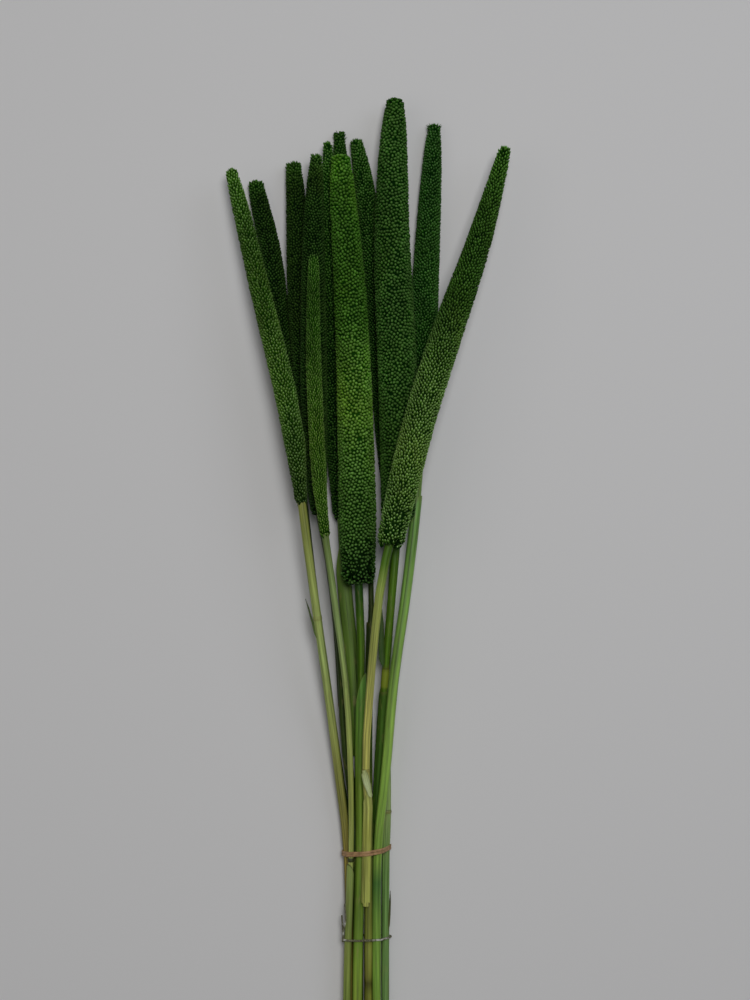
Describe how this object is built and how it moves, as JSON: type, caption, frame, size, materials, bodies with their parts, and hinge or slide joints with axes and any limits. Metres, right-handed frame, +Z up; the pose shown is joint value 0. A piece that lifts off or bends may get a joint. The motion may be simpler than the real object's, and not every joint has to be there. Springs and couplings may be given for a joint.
{
  "type": "tied bunch of pearl millet",
  "caption": "Tied bunch of cut, dried pearl millet stalks with long grainy green spikes, leaf sheaths, a rubber band and a twine tie, lying flat.",
  "frame": {"origin": "on the surface under the middle of the bunch", "axes": "+Y from the cut stem ends to the spike tips, +X to the right seen from above, +Z up"},
  "size_m": [0.1876, 0.649, 0.0625],
  "materials": {
    "grain": "matt, grainy",
    "stem": "satin, finely veined",
    "leaf": "satin, finely veined",
    "rubber_band": "dull",
    "twine": "twisted fibre"
  },
  "bodies": {
    "root": {"spike_01": "grain", "spike_02": "grain", "spike_03": "grain", "spike_04": "grain", "spike_05": "grain", "spike_06": "grain", "spike_07": "grain", "spike_08": "grain", "spike_09": "grain", "spike_10": "grain", "spike_11": "grain", "spike_12": "grain", "stem_01": "stem", "stem_02": "stem", "stem_03": "stem", "stem_04": "stem", "stem_05": "stem", "stem_06": "stem", "stem_07": "stem", "stem_08": "stem", "stem_09": "stem", "stem_10": "stem", "stem_11": "stem", "stem_12": "stem", "leaf_sheath_05": "leaf", "leaf_sheath_06": "leaf", "leaf_sheath_07": "leaf", "leaf_sheath_09": "leaf", "leaf_sheath_10": "leaf", "leaf_sheath_11": "leaf", "leaf_sheath_12": "leaf", "torn_leaf_01": "leaf", "torn_leaf_08": "leaf", "torn_leaf_09": "leaf", "torn_leaf_11": "leaf", "rubber_band": "rubber_band", "twine_tie": "twine"}
  },
  "joints": []
}
